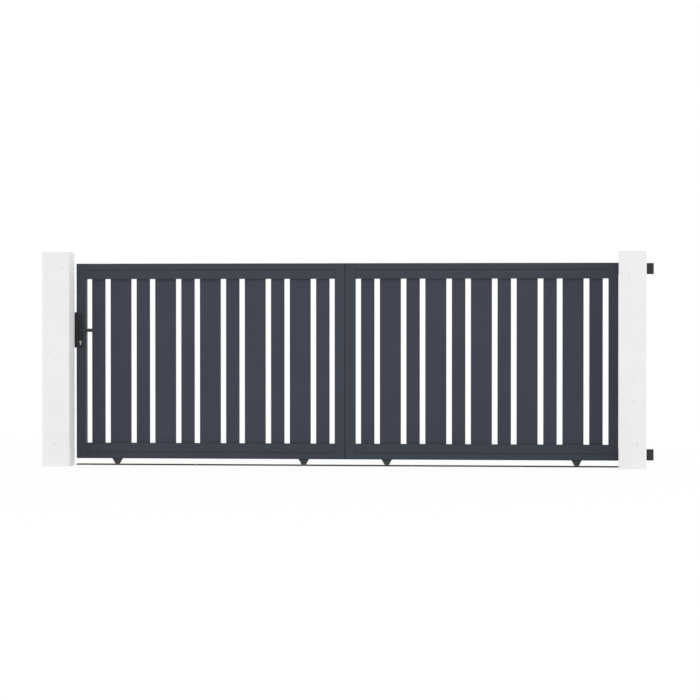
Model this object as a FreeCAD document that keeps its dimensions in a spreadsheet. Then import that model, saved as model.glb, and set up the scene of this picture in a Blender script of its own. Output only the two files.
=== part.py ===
# Sliding driveway gate with vertical slats, between two square rendered pillars.
# Millimetres. The origin is the centre of the left pillar's foot. X runs along the gate towards the
# side it opens to, Y runs from the street into the drive, and Z is up.
import FreeCAD, Part
import math
import os
import Sketcher
from FreeCAD import Vector

os.makedirs("parts", exist_ok=True)
doc = FreeCAD.newDocument("sliding_driveway_gate")

# Driving dimensions
SIZES = [
    ("pillar_width", 200, "side of the square pillars"),
    ("pillar_rise", 82, "how far the pillars stand above the leaf"),
    ("pillar_arris", 4, "chamfer on the pillars' upright and top edges"),
    ("passage", 4000, "clear width between the pillars"),
    ("leaf_setback", 30, "gap from the pillars' back to the leaf"),
    ("left_gap", 8, "gap from the left pillar's side to the leaf's closing edge"),
    ("right_gap", 2, "gap seen between the leaf and the right pillar's side"),
    ("ground_gap", 50, "from the ground to the leaf's underside"),
    ("leaf_height", 1438, "height of the leaf"),
    ("leaf_depth", 58, "depth of the frame profiles"),
    ("joint_gap", 7, "width of the strip that joins the leaf's two halves"),
    ("joint_recess", 1.5, "how far the joining strip lies back"),
    ("stile_width", 72, "face width of the upright frame profiles"),
    ("frame_wall", 3, "wall of the upright frame profiles"),
    ("frame_bevel", 1, "bevel of the upright frame profiles' long edges"),
    ("rail_outer", 47, "outer band of the top and bottom rails"),
    ("rail_inner", 67, "recessed inner band of the rails"),
    ("rail_recess", 4, "how far the inner band lies back on each side"),
    ("rail_bevel", 3, "bevel of the outer band's long edges"),
    ("rail_wall", 2.5, "wall of the rail profiles"),
    ("slat_gap", 41, "open gap between slats"),
    ("narrow_width", 98, "face width of a narrow slat"),
    ("narrow_count", 6, "narrow slats in one half"),
    ("wide_count", 5, "wide slats in one half"),
    ("slat_depth", 20, "depth of a slat"),
    ("slat_wall", 1.8, "wall of a slat"),
    ("slat_bevel", 0.8, "bevel of a slat's four upright edges"),
    ("slat_seat", 20, "length of a slat inside its rail"),
    ("fit_clear", 0.3, "clearance round a piece that sits in another"),
    ("tail_height", 80, "height of the tail bars behind the right pillar"),
    ("tail_inset", 3, "how far the tail bars lie inside the leaf's height"),
    ("tail_length", 251, "length of the tail bars"),
    ("tail_wall", 3, "wall of the tail bars"),
    ("cap_thick", 4, "thickness of the end caps on the tail bars"),
    ("cap_skirt", 15, "length of an end cap inside its tube"),
    ("cap_bevel", 1.5, "bevel round an end cap's face"),
    ("ridge_half", 6, "half width and radius of the ground rail's ridge"),
    ("ridge_top", 10, "height of the ground rail over the ground"),
    ("base_width", 50, "width of the ground rail's flat base"),
    ("base_thick", 3, "thickness of the ground rail's flat base"),
    ("rail_end_gap", 5, "from the ground rail's ends to the pillars' side planes"),
    ("fixing_count", 6, "pairs of fixing holes in the ground rail"),
    ("fixing_first", 95, "from the ground rail's end to its first pair of holes"),
    ("fixing_across", 34, "distance between the two holes of a pair"),
    ("fixing_hole", 7, "diameter of a fixing hole"),
    ("roll_radius", 22, "rolling radius of the wheels, at the groove's bottom"),
    ("flange_radius", 26, "radius of the wheels over their flanges"),
    ("wheel_width", 20, "width of a wheel"),
    ("wheel_air", 0.3, "running clearance of the wheels on the rail and between the cheeks"),
    ("axle_radius", 6, "radius of the wheels' axles"),
    ("pin_clear", 0.05, "radial clearance of pins and shafts"),
    ("inner_wheel", 306, "from the leaf's middle to the inner wheels"),
    ("outer_inset", 230, "from the outer stiles to the outer wheels"),
    ("axle_head", 9, "half the width of the axles' heads over their flats"),
    ("axle_head_high", 4, "height of the axles' heads"),
    ("cheek_thick", 4, "thickness of a fork's cheeks"),
    ("cheek_top", 75, "width of a cheek under the leaf"),
    ("cheek_foot", 28, "width of a cheek at its foot"),
    ("cheek_clear", 12, "from the ground to a cheek's foot"),
    ("cheek_corner", 7, "bevel of a cheek's foot"),
    ("fork_plate", 3, "thickness of a fork's top plate"),
    ("wheel_window", 62, "length of the wheel's window in the fork and the bottom rail"),
    ("lock_setback", 32, "from the leaf's closing edge to the lock's axis"),
    ("spindle_height", 996, "height of the lever's axis over the ground"),
    ("lock_spacing", 85, "from the lever's axis down to the cylinder"),
    ("plate_width", 32, "width of the lock plates"),
    ("plate_over", 115, "from the lever's axis up to the plates' top"),
    ("plate_under", 40, "from the cylinder's axis down to the plates' foot"),
    ("plate_thick", 8, "thickness of the lock plates"),
    ("plate_corner", 3, "bevel of the lock plates' corners"),
    ("plate_bevel", 1.2, "bevel round the face of the lock plates"),
    ("spindle_side", 8, "side of the square spindle"),
    ("spindle_hole", 12.5, "diameter of the spindle's hole in plates and stile"),
    ("spindle_seat", 15, "depth of the spindle's socket in a lever"),
    ("lever_air", 0.3, "running clearance between a lever and its plate"),
    ("lever_standoff", 60, "from the leaf's face to the outside of the lever"),
    ("lever_reach", 112, "from the lever's axis to its free end"),
    ("lever_high", 24, "height of the lever's section"),
    ("lever_thick", 14, "thickness of the lever's section"),
    ("lever_bend", 16, "radius of the lever's bend, on its middle line"),
    ("lever_bevel", 4, "bevel of the lever's long edges"),
    ("cylinder_round", 17, "diameter of the lock cylinder's round part"),
    ("cylinder_web", 10, "width of the lock cylinder's lower part"),
    ("cylinder_height", 33, "height of the lock cylinder"),
    ("cylinder_proud", 3, "how far the lock cylinder stands out of the plates"),
    ("keeper_height", 261, "height of the keeper"),
    ("keeper_drop", 128, "from the lever's axis down to the keeper's lower end"),
    ("keeper_sheet", 3, "thickness of the keeper's sheet"),
    ("keeper_air", 5, "clearance of the leaf in the keeper"),
    ("keeper_lip", 10.5, "how far the keeper's lips reach over the leaf's edge"),
    ("keeper_wing", 55, "width of the keeper's wing on the pillar's back"),
    ("keeper_bend", 1.5, "inner bend radius of the keeper"),
    ("keeper_hole", 9, "diameter of the keeper's screw holes"),
    ("keeper_screw", 52, "from the keeper's ends to its screw holes"),
    ("bolt_slot_wide", 16, "width of the lock bolt's openings in stile and keeper"),
    ("bolt_slot_high", 70, "height of the lock bolt's openings in stile and keeper"),
    ("bracket_width", 120, "width of the guide bracket"),
    ("bracket_sheet", 6, "thickness of the guide bracket"),
    ("bracket_leg", 60, "height of the guide bracket's leg on the pillar"),
    ("bracket_bend", 9, "outer bend radius of the guide bracket"),
    ("bracket_air", 12, "from the leaf's top to the guide bracket's arm"),
    ("bracket_hole", 9, "diameter of the guide bracket's wall holes"),
    ("bracket_hole_up", 36, "from the guide bracket's arm up to its wall holes"),
    ("bracket_pitch", 80, "distance between the guide bracket's wall holes"),
    ("roller_radius", 13, "radius of the guide rollers"),
    ("roller_height", 50, "height of the guide rollers"),
    ("roller_gap", 3, "washer gap between a guide roller and the bracket or bolt head"),
    ("roller_air", 0.3, "clearance of the guide rollers on the leaf"),
    ("bolt_radius", 5, "radius of the guide rollers' bolts"),
    ("bolt_head", 8, "half the width of the bolts' heads over their flats"),
    ("bolt_head_high", 6, "height of the bolts' heads"),
    ("bolt_tip", 10, "how far a bolt stands out above the guide bracket"),
]

# Sizes worked out from the driving dimensions, as formulas in the same sheet
FORMULAS = [
    ("pillar_half", "pillar_width / 2"),
    ("leaf_front", "pillar_half + leaf_setback"),
    ("leaf_mid", "leaf_front + leaf_depth / 2"),
    ("leaf_left", "pillar_half + left_gap"),
    ("leaf_right", "pillar_half + passage - right_gap"),
    ("leaf_middle", "(leaf_left + leaf_right) / 2"),
    ("leaf_top", "ground_gap + leaf_height"),
    ("pillar_height", "leaf_top + pillar_rise"),
    ("half_width", "(leaf_right - leaf_left - joint_gap) / 2"),
    ("field_width", "half_width - 2 * stile_width"),
    ("rail_height", "rail_outer + rail_inner"),
    ("wide_width", "(field_width - narrow_count * narrow_width - (narrow_count + wide_count + 1)"
                   " * slat_gap) / wide_count"),
    ("slat_pitch", "narrow_width + wide_width + 2 * slat_gap"),
    ("slat_length", "leaf_height - 2 * rail_height + 2 * slat_seat"),
    ("ridge_spring", "ridge_top - ridge_half"),
    ("track_left", "pillar_half + rail_end_gap"),
    ("track_length", "passage + pillar_width - 2 * rail_end_gap"),
    ("fixing_pitch", "(track_length - 2 * fixing_first) / (fixing_count - 1)"),
    ("axle_height", "ridge_top + wheel_air + roll_radius"),
    ("groove_half", "ridge_half + wheel_air"),
    ("cheek_gap", "wheel_width + 2 * wheel_air"),
    ("outer_wheel", "leaf_middle - leaf_left - stile_width - outer_inset"),
    ("fork_half", "cheek_gap / 2 + cheek_thick"),
    ("lock_left", "leaf_left + lock_setback"),
    ("lock_face", "leaf_depth / 2 + plate_thick"),
    ("lever_middle", "leaf_depth / 2 + lever_standoff - lever_thick / 2"),
    ("keeper_web", "leaf_left - keeper_air"),
    ("keeper_low", "spindle_height - keeper_drop"),
    ("roller_across", "leaf_depth / 2 + roller_air + roller_radius"),
    ("arm_low", "leaf_top + bracket_air"),
    ("arm_reach", "leaf_setback + leaf_depth / 2 + roller_across + roller_radius + roller_gap"),
]

sheet = doc.addObject("Spreadsheet::Sheet", "Sizes")
row = 0
for alias, value, note in SIZES:
    row += 1
    sheet.set("A%d" % row, note)
    sheet.set("B%d" % row, str(value))
    sheet.setAlias("B%d" % row, alias)
for alias, formula in FORMULAS:
    row += 1
    sheet.set("A%d" % row, "worked out")
    sheet.set("B%d" % row, "=" + formula)
    sheet.setAlias("B%d" % row, alias)
doc.recompute()

NAMES = sorted([entry[0] for entry in SIZES] + [entry[0] for entry in FORMULAS], key=len, reverse=True)


def size(alias):
    """The present value of one cell of the sheet."""
    return float(sheet.get(alias))


def formula(text):
    """The same formula with the sheet's name before each alias, as an expression needs it."""
    words = []
    word = ""
    for letter in text + " ":
        if letter.isalnum() or letter == "_":
            word += letter
        else:
            words.append("Sizes." + word if word in NAMES else word)
            words.append(letter)
            word = ""
    return "".join(words).strip()


def bind(thing, prop, text):
    """Tie one property to a formula of the sheet's aliases."""
    thing.setExpression(prop, formula(text))


# Helpers for bodies, sketches and features
NODES = []
NEAR = 1e-4


def same(first, second):
    """True where two places along an axis are one and the same."""
    return abs(first - second) < NEAR


def new_body(name, x="0", y="0", z="0", turn=None):
    """A body with its own label, placed by formulas; turn is a rotation about its own origin."""
    body = doc.addObject("PartDesign::Body", name)
    body.Label = name
    body.AllowCompound = True
    if turn is not None:
        body.Placement = FreeCAD.Placement(Vector(0, 0, 0), turn)
    bind(body, ".Placement.Base.x", x)
    bind(body, ".Placement.Base.y", y)
    bind(body, ".Placement.Base.z", z)
    NODES.append(body)
    return body


def new_sketch(body, role, lift="0"):
    """A sketch on one of the body's own origin planes, lifted along the plane's normal."""
    sketch = body.newObject("Sketcher::SketchObject", body.Name + "_sketch")
    plane = [item for item in body.Origin.OriginFeatures if item.Role == role][0]
    sketch.AttachmentSupport = [(plane, "")]
    sketch.MapMode = "FlatFace"
    bind(sketch, ".AttachmentOffset.Base.z", lift)
    return sketch


def measure(sketch, kind, geometry, point, text):
    """One driving distance from the sketch's origin to a point, tied to a formula."""
    index = sketch.addConstraint(Sketcher.Constraint(kind, -1, 1, geometry, point, 1.0))
    name = "d%d" % index
    sketch.renameConstraint(index, name)
    bind(sketch, "Constraints." + name, text)


def outline(sketch, points):
    """A closed outline through points given as pairs of formulas. Sides between two points that
    share a formula are held upright or level, and every other place is a driving distance."""
    first = sketch.GeometryCount
    count = len(points)
    start = [Vector(index % 7 + 1, index * 1.3 + 1, 0) for index in range(count)]
    for index in range(count):
        sketch.addGeometry(Part.LineSegment(start[index], start[(index + 1) % count]))
    for index in range(count):
        following = first + (index + 1) % count
        sketch.addConstraint(Sketcher.Constraint("Coincident", first + index, 2, following, 1))
    for index in range(count):
        before = points[index - 1]
        across, along = points[index]
        side = first + (index - 1) % count
        if index > 0 and before[0] == across:
            sketch.addConstraint(Sketcher.Constraint("Vertical", side))
        else:
            measure(sketch, "DistanceX", first + index, 1, across)
        if index > 0 and before[1] == along:
            sketch.addConstraint(Sketcher.Constraint("Horizontal", side))
        else:
            measure(sketch, "DistanceY", first + index, 1, along)


def rectangle(sketch, left, right, low, high):
    """An upright rectangle between four formulas."""
    outline(sketch, [(left, low), (right, low), (right, high), (left, high)])


def circle(sketch, across, along, radius):
    """A circle with its centre and radius tied to formulas."""
    index = sketch.addGeometry(Part.Circle(Vector(1, 1, 0), Vector(0, 0, 1), 2.0))
    if across == "0" and along == "0":
        sketch.addConstraint(Sketcher.Constraint("Coincident", index, 3, -1, 1))
    else:
        measure(sketch, "DistanceX", index, 3, across)
        measure(sketch, "DistanceY", index, 3, along)
    held = sketch.addConstraint(Sketcher.Constraint("Radius", index, 2.0))
    sketch.renameConstraint(held, "r%d" % held)
    bind(sketch, "Constraints.r%d" % held, radius)


def hexagon(sketch, across, along, flat):
    """A hexagon about a centre, with two sides upright; flat is half its width over flats, and half
    a side is that over the square root of three."""
    half = "(" + flat + ") / sqrt(3)"
    right = across + " + " + flat
    left = across + " - " + flat
    outline(sketch, [
        (right, along + " - " + half), (right, along + " + " + half), (across, along + " + 2 * " + half),
        (left, along + " + " + half), (left, along + " - " + half), (across, along + " - 2 * " + half)])


def arch(sketch, half, spring):
    """A ridge section: a flat foot on the sketch's first axis, two sides up to the spring height
    and a half circle over them."""
    radius = 3.0
    rise = 2.0
    ring = Part.Circle(Vector(0, rise, 0), Vector(0, 0, 1), radius)
    top = sketch.addGeometry(Part.ArcOfCircle(ring, 0, math.pi))
    left = sketch.addGeometry(Part.LineSegment(Vector(-radius, rise, 0), Vector(-radius, 0, 0)))
    foot = sketch.addGeometry(Part.LineSegment(Vector(-radius, 0, 0), Vector(radius, 0, 0)))
    right = sketch.addGeometry(Part.LineSegment(Vector(radius, 0, 0), Vector(radius, rise, 0)))
    sketch.addConstraint(Sketcher.Constraint("Tangent", top, 2, left, 1))
    sketch.addConstraint(Sketcher.Constraint("Coincident", left, 2, foot, 1))
    sketch.addConstraint(Sketcher.Constraint("Coincident", foot, 2, right, 1))
    sketch.addConstraint(Sketcher.Constraint("Tangent", right, 2, top, 1))
    sketch.addConstraint(Sketcher.Constraint("Vertical", left))
    sketch.addConstraint(Sketcher.Constraint("PointOnObject", foot, 1, -1))
    sketch.addConstraint(Sketcher.Constraint("Horizontal", foot))
    sketch.addConstraint(Sketcher.Constraint("PointOnObject", top, 3, -2))
    held = sketch.addConstraint(Sketcher.Constraint("Radius", top, radius))
    sketch.renameConstraint(held, "ridge_radius")
    bind(sketch, "Constraints.ridge_radius", half)
    measure(sketch, "DistanceY", top, 3, spring)


def pad(body, sketch, length, symmetric=False, reverse=False):
    """Grow a sketch into a solid."""
    feature = body.newObject("PartDesign::Pad", body.Name + "_pad")
    feature.Profile = sketch
    bind(feature, "Length", length)
    feature.SideType = "Symmetric" if symmetric else "One side"
    feature.Reversed = reverse
    doc.recompute()
    return feature


def pocket(body, sketch, length, symmetric=False, reverse=False):
    """Cut a sketch out of the solid, and stop where it cuts nothing."""
    before = body.Shape.Volume
    feature = body.newObject("PartDesign::Pocket", body.Name + "_pocket")
    feature.Profile = sketch
    bind(feature, "Length", length)
    feature.SideType = "Symmetric" if symmetric else "One side"
    feature.Reversed = reverse
    doc.recompute()
    if body.Shape.Volume >= before:
        raise ValueError(body.Label + ": a pocket cuts nothing")
    return feature


def along_x(body, feature, count, pitch):
    """Repeat a feature along the body's X axis."""
    axis = [item for item in body.Origin.OriginFeatures if item.Role == "X_Axis"][0]
    pattern = body.newObject("PartDesign::LinearPattern", body.Name + "_pattern")
    pattern.Originals = [feature]
    pattern.Direction = (axis, [""])
    pattern.Mode = "Spacing"
    bind(pattern, "Occurrences", count)
    bind(pattern, "Offset", pitch)
    body.Tip = pattern
    doc.recompute()
    return pattern


def edges_where(body, test):
    """Names of the edges of the body's last feature that pass a test, in the body's own frame."""
    found = []
    for index, edge in enumerate(body.Tip.Shape.Edges):
        if test(edge):
            found.append("Edge%d" % (index + 1))
    if not found:
        raise ValueError(body.Label + ": no edge to dress")
    return found


def dress(body, kind, names, text):
    """Fillet or chamfer the named edges of the body's last feature."""
    feature = body.newObject("PartDesign::" + kind, body.Name + "_" + kind.lower())
    feature.Base = (body.Group[-2], names)
    bind(feature, "Radius" if kind == "Fillet" else "Size", text)
    doc.recompute()
    return feature


def runs_along(edge, axis):
    """True where a straight edge is parallel to one of the axes 0, 1, 2."""
    if edge.Curve.TypeId != "Part::GeomLine":
        return False
    way = edge.Vertexes[1].Point - edge.Vertexes[0].Point
    return same(abs(way[axis]), way.Length)


# Pillars: square, rendered, with a small chamfer on the upright and top edges
def make_pillar(name, x):
    body = new_body(name, x)
    sketch = new_sketch(body, "XY_Plane")
    rectangle(sketch, "-pillar_half", "pillar_half", "-pillar_half", "pillar_half")
    pad(body, sketch, "pillar_height")
    names = edges_where(body, lambda edge: max(v.Z for v in edge.Vertexes) > NEAR)
    dress(body, "Chamfer", names, "pillar_arris")


make_pillar("left_pillar", "0")
make_pillar("right_pillar", "passage + pillar_width")


# Ground rail: a flat base with a rounded ridge, screwed down through pairs of holes
def make_ground_rail():
    body = new_body("ground_rail", "track_left", "leaf_mid")
    base = new_sketch(body, "YZ_Plane")
    rectangle(base, "-base_width / 2", "base_width / 2", "0", "base_thick")
    pad(body, base, "track_length")
    ridge = new_sketch(body, "YZ_Plane")
    arch(ridge, "ridge_half", "ridge_spring")
    pad(body, ridge, "track_length")
    holes = new_sketch(body, "XY_Plane")
    circle(holes, "fixing_first", "fixing_across / 2", "fixing_hole / 2")
    circle(holes, "fixing_first", "-fixing_across / 2", "fixing_hole / 2")
    cut = pocket(body, holes, "base_thick", reverse=True)
    along_x(body, cut, "fixing_count", "fixing_pitch")


make_ground_rail()


# Leaf frame: each half has two stiles and two stepped, hollow, slotted rails
def make_stile(name, x, lock=False):
    body = new_body(name, x, "leaf_mid", "ground_gap")
    face = new_sketch(body, "XY_Plane")
    rectangle(face, "0", "stile_width", "-leaf_depth / 2", "leaf_depth / 2")
    pad(body, face, "leaf_height")
    dress(body, "Chamfer", edges_where(body, lambda edge: runs_along(edge, 2)), "frame_bevel")
    inside = new_sketch(body, "XY_Plane")
    rectangle(inside, "frame_wall", "stile_width - frame_wall",
              "frame_wall - leaf_depth / 2", "leaf_depth / 2 - frame_wall")
    pocket(body, inside, "leaf_height - frame_wall", reverse=True)
    if lock:
        cut_lock_holes(body, "lock_setback", "leaf_depth")
        bolt = new_sketch(body, "YZ_Plane")
        middle = "spindle_height - lock_spacing / 2 - ground_gap"
        rectangle(bolt, "-bolt_slot_wide / 2", "bolt_slot_wide / 2",
                  middle + " - bolt_slot_high / 2", middle + " + bolt_slot_high / 2")
        pocket(body, bolt, "frame_wall", reverse=True)


def cut_lock_holes(body, x, depth):
    """Openings for the spindle and the lock cylinder, right through, with z counted from the
    body's origin at the leaf's underside."""
    spindle = new_sketch(body, "XZ_Plane")
    circle(spindle, x, "spindle_height - ground_gap", "spindle_hole / 2")
    pocket(body, spindle, depth, symmetric=True)
    centre = "spindle_height - ground_gap - lock_spacing"
    upper = new_sketch(body, "XZ_Plane")
    circle(upper, x, centre, "cylinder_round / 2 + fit_clear")
    pocket(body, upper, depth, symmetric=True)
    lower = new_sketch(body, "XZ_Plane")
    rectangle(lower, x + " - cylinder_web / 2 - fit_clear", x + " + cylinder_web / 2 + fit_clear",
              centre + " + cylinder_round / 2 - cylinder_height - fit_clear", centre)
    pocket(body, lower, depth, symmetric=True)


def make_rail(name, x, top, wheels=()):
    """One rail, lying with its outer band down; the top rails are the same profile turned over.
    wheels lists the places of wheel windows, from the rail's left end."""
    if top:
        body = new_body(name, x, "leaf_mid", "leaf_top", FreeCAD.Rotation(Vector(1, 0, 0), 180))
    else:
        body = new_body(name, x, "leaf_mid", "ground_gap")
    section = new_sketch(body, "YZ_Plane")
    outline(section, [
        ("rail_bevel - leaf_depth / 2", "0"), ("leaf_depth / 2 - rail_bevel", "0"),
        ("leaf_depth / 2", "rail_bevel"), ("leaf_depth / 2", "rail_outer - rail_bevel"),
        ("leaf_depth / 2 - rail_bevel", "rail_outer"), ("leaf_depth / 2 - rail_recess", "rail_outer"),
        ("leaf_depth / 2 - rail_recess", "rail_height"), ("rail_recess - leaf_depth / 2", "rail_height"),
        ("rail_recess - leaf_depth / 2", "rail_outer"), ("rail_bevel - leaf_depth / 2", "rail_outer"),
        ("-leaf_depth / 2", "rail_outer - rail_bevel"), ("-leaf_depth / 2", "rail_bevel")])
    rectangle(section, "rail_wall - leaf_depth / 2", "leaf_depth / 2 - rail_wall",
              "rail_wall", "rail_outer - rail_wall")
    rectangle(section, "rail_recess + rail_wall - leaf_depth / 2",
              "leaf_depth / 2 - rail_recess - rail_wall", "rail_outer", "rail_height - rail_wall")
    pad(body, section, "field_width")
    cut_slots(body, "slat_gap", "narrow_width", "narrow_count")
    cut_slots(body, "2 * slat_gap + narrow_width", "wide_width", "wide_count")
    for place in wheels:
        window = new_sketch(body, "XY_Plane")
        rectangle(window, place + " - wheel_window / 2", place + " + wheel_window / 2",
                  "-cheek_gap / 2", "cheek_gap / 2")
        pocket(body, window, "rail_wall + fit_clear", reverse=True)


def cut_slots(body, first, width, count):
    """A row of slots in the rail's inner edge, one for each slat of a kind."""
    slot = new_sketch(body, "XY_Plane", "rail_height")
    rectangle(slot, first + " - fit_clear", first + " + " + width + " + fit_clear",
              "-slat_depth / 2 - fit_clear", "slat_depth / 2 + fit_clear")
    cut = pocket(body, slot, "rail_wall + fit_clear")
    along_x(body, cut, count, "slat_pitch")


def make_slats(name, x, first, width, count):
    """All slats of one width in one half: hollow flat tubes that stand in the rails' slots."""
    body = new_body(name, x, "leaf_mid", "ground_gap + rail_height - slat_seat")
    section = new_sketch(body, "XY_Plane")
    rectangle(section, first, first + " + " + width, "-slat_depth / 2", "slat_depth / 2")
    rectangle(section, first + " + slat_wall", first + " + " + width + " - slat_wall",
              "slat_wall - slat_depth / 2", "slat_depth / 2 - slat_wall")
    slat = pad(body, section, "slat_length")
    along_x(body, slat, count, "slat_pitch")
    outside = size("slat_depth") / 2
    names = edges_where(body, lambda edge: runs_along(edge, 2)
                        and same(abs(edge.Vertexes[0].Y), outside))
    dress(body, "Chamfer", names, "slat_bevel")


LEFT_HALF = "leaf_left"
RIGHT_HALF = "leaf_left + half_width + joint_gap"

for half, start in (("left", LEFT_HALF), ("right", RIGHT_HALF)):
    field = start + " + stile_width"
    closing = half == "left"
    make_stile(half + "_half_left_stile", start, lock=closing)
    make_stile(half + "_half_right_stile", start + " + half_width - stile_width")
    make_rail(half + "_half_top_rail", field, top=True)
    if closing:
        places = ["outer_inset", "leaf_middle - inner_wheel - (" + field + ")"]
    else:
        places = ["leaf_middle + inner_wheel - (" + field + ")", "field_width - outer_inset"]
    make_rail(half + "_half_bottom_rail", field, top=False, wheels=places)
    make_slats(half + "_half_narrow_slats", field, "slat_gap", "narrow_width", "narrow_count")
    make_slats(half + "_half_wide_slats", field, "2 * slat_gap + narrow_width", "wide_width",
               "wide_count")


# Joining strip: set back between the halves, flush where the rails' outer bands meet
def make_joining_strip():
    body = new_body("joining_strip", "leaf_left + half_width", "leaf_mid", "ground_gap")
    back = new_sketch(body, "XY_Plane")
    rectangle(back, "0", "joint_gap", "joint_recess - leaf_depth / 2", "leaf_depth / 2 - joint_recess")
    pad(body, back, "leaf_height")
    for lift in ("0", "leaf_height - rail_outer"):
        flush = new_sketch(body, "XY_Plane", lift)
        rectangle(flush, "0", "joint_gap", "-leaf_depth / 2", "leaf_depth / 2")
        pad(body, flush, "rail_outer")


make_joining_strip()


# Tail bars: tubes that run on behind the right pillar and stay in the guide, closed by end caps
def make_tail(name, z):
    body = new_body(name, "leaf_right", "leaf_mid", z)
    tube = new_sketch(body, "YZ_Plane")
    rectangle(tube, "-leaf_depth / 2", "leaf_depth / 2", "0", "tail_height")
    rectangle(tube, "tail_wall - leaf_depth / 2", "leaf_depth / 2 - tail_wall",
              "tail_wall", "tail_height - tail_wall")
    pad(body, tube, "tail_length")
    cap = new_body(name + "_cap", "leaf_right + tail_length", "leaf_mid", z)
    face = new_sketch(cap, "YZ_Plane")
    rectangle(face, "-leaf_depth / 2", "leaf_depth / 2", "0", "tail_height")
    pad(cap, face, "cap_thick")
    outside = size("cap_thick")
    rim = edges_where(cap, lambda edge: all(same(v.X, outside) for v in edge.Vertexes))
    dress(cap, "Chamfer", rim, "cap_bevel")
    inset = "tail_wall + fit_clear"
    skirt = new_sketch(cap, "YZ_Plane")
    rectangle(skirt, inset + " - leaf_depth / 2", "leaf_depth / 2 - tail_wall - fit_clear",
              inset, "tail_height - tail_wall - fit_clear")
    rectangle(skirt, "2 * tail_wall - leaf_depth / 2", "leaf_depth / 2 - 2 * tail_wall",
              "2 * tail_wall", "tail_height - 2 * tail_wall")
    pad(cap, skirt, "cap_skirt", reverse=True)


make_tail("top_tail", "leaf_top - tail_inset - tail_height")
make_tail("bottom_tail", "ground_gap + tail_inset")


# Wheels under the leaf: four forks with tapered cheeks, four wheels and four bolts as axles
WHEELS = ["-outer_wheel", "-inner_wheel", "inner_wheel", "outer_wheel"]


def make_forks():
    """All four forks: a top plate with a window for the wheel, and two cheeks with bevelled feet."""
    body = new_body("wheel_forks", "leaf_middle", "leaf_mid", "ground_gap")
    plate = new_sketch(body, "XY_Plane")
    for x in WHEELS:
        rectangle(plate, x + " - cheek_top / 2", x + " + cheek_top / 2", "-fork_half", "fork_half")
        rectangle(plate, x + " - wheel_window / 2", x + " + wheel_window / 2",
                  "-cheek_gap / 2", "cheek_gap / 2")
    pad(body, plate, "fork_plate", reverse=True)
    foot = "cheek_clear - ground_gap"
    root = "-fork_plate / 2"
    for lift in ("cheek_gap / 2", "-fork_half"):
        cheek = new_sketch(body, "XZ_Plane", lift)
        for x in WHEELS:
            outline(cheek, [
                (x + " - cheek_foot / 2", foot), (x + " + cheek_foot / 2", foot),
                (x + " + cheek_top / 2", root), (x + " + cheek_top / 2", "0"),
                (x + " - cheek_top / 2", "0"), (x + " - cheek_top / 2", root)])
        pad(body, cheek, "cheek_thick")
    low = size("cheek_clear") - size("ground_gap")
    names = edges_where(body, lambda edge: runs_along(edge, 1) and same(edge.Vertexes[0].Z, low))
    dress(body, "Chamfer", names, "cheek_corner")
    eye = new_sketch(body, "XZ_Plane")
    for x in WHEELS:
        circle(eye, x, "axle_height - ground_gap", "axle_radius + pin_clear")
    pocket(body, eye, "2 * fork_half", symmetric=True)


def make_wheel(name, x):
    """A wheel turned about its axle, with a square groove that runs on the rail's ridge."""
    body = new_body(name, "leaf_middle + " + x, "leaf_mid", "axle_height")
    section = new_sketch(body, "YZ_Plane")
    bore = "axle_radius + pin_clear"
    outline(section, [
        ("-wheel_width / 2", bore), ("wheel_width / 2", bore), ("wheel_width / 2", "flange_radius"),
        ("groove_half", "flange_radius"), ("groove_half", "roll_radius"),
        ("-groove_half", "roll_radius"), ("-groove_half", "flange_radius"),
        ("-wheel_width / 2", "flange_radius")])
    turned = body.newObject("PartDesign::Revolution", name + "_turned")
    turned.Profile = section
    turned.ReferenceAxis = (section, ["H_Axis"])
    turned.Angle = 360
    doc.recompute()


def make_axles():
    """Bolts through both cheeks, each with a hexagon head at one end and a like nut at the other."""
    body = new_body("wheel_axles", "leaf_middle", "leaf_mid", "axle_height")
    shaft = new_sketch(body, "XZ_Plane")
    for x in WHEELS:
        circle(shaft, x, "0", "axle_radius")
    pad(body, shaft, "2 * fork_half", symmetric=True)
    for lift, back in (("fork_half", False), ("-fork_half", True)):
        head = new_sketch(body, "XZ_Plane", lift)
        for x in WHEELS:
            hexagon(head, x, "0", "axle_head")
        pad(body, head, "axle_head_high", reverse=back)


make_forks()
for number, place in enumerate(WHEELS, 1):
    make_wheel("wheel_%d" % number, place)
make_axles()


# Lock: long plates on both faces, a lever on each side of one spindle, and a profile cylinder
def make_lock_plate(name, side):
    """side is -1 on the street side and 1 inside. The body's origin is the leaf's underside."""
    body = new_body(name, "lock_left", "leaf_mid", "ground_gap")
    near = "leaf_depth / 2" if side < 0 else "-leaf_depth / 2"
    axis = "spindle_height - ground_gap"
    face = new_sketch(body, "XZ_Plane", near)
    rectangle(face, "-plate_width / 2", "plate_width / 2",
              axis + " - lock_spacing - plate_under", axis + " + plate_over")
    pad(body, face, "plate_thick", reverse=side > 0)
    dress(body, "Chamfer", edges_where(body, lambda edge: runs_along(edge, 1)), "plate_corner")
    outside = side * size("lock_face")
    names = edges_where(body, lambda edge: all(same(v.Y, outside) for v in edge.Vertexes))
    dress(body, "Chamfer", names, "plate_bevel")
    cut_lock_holes(body, "0", "2 * lock_face")


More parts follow.
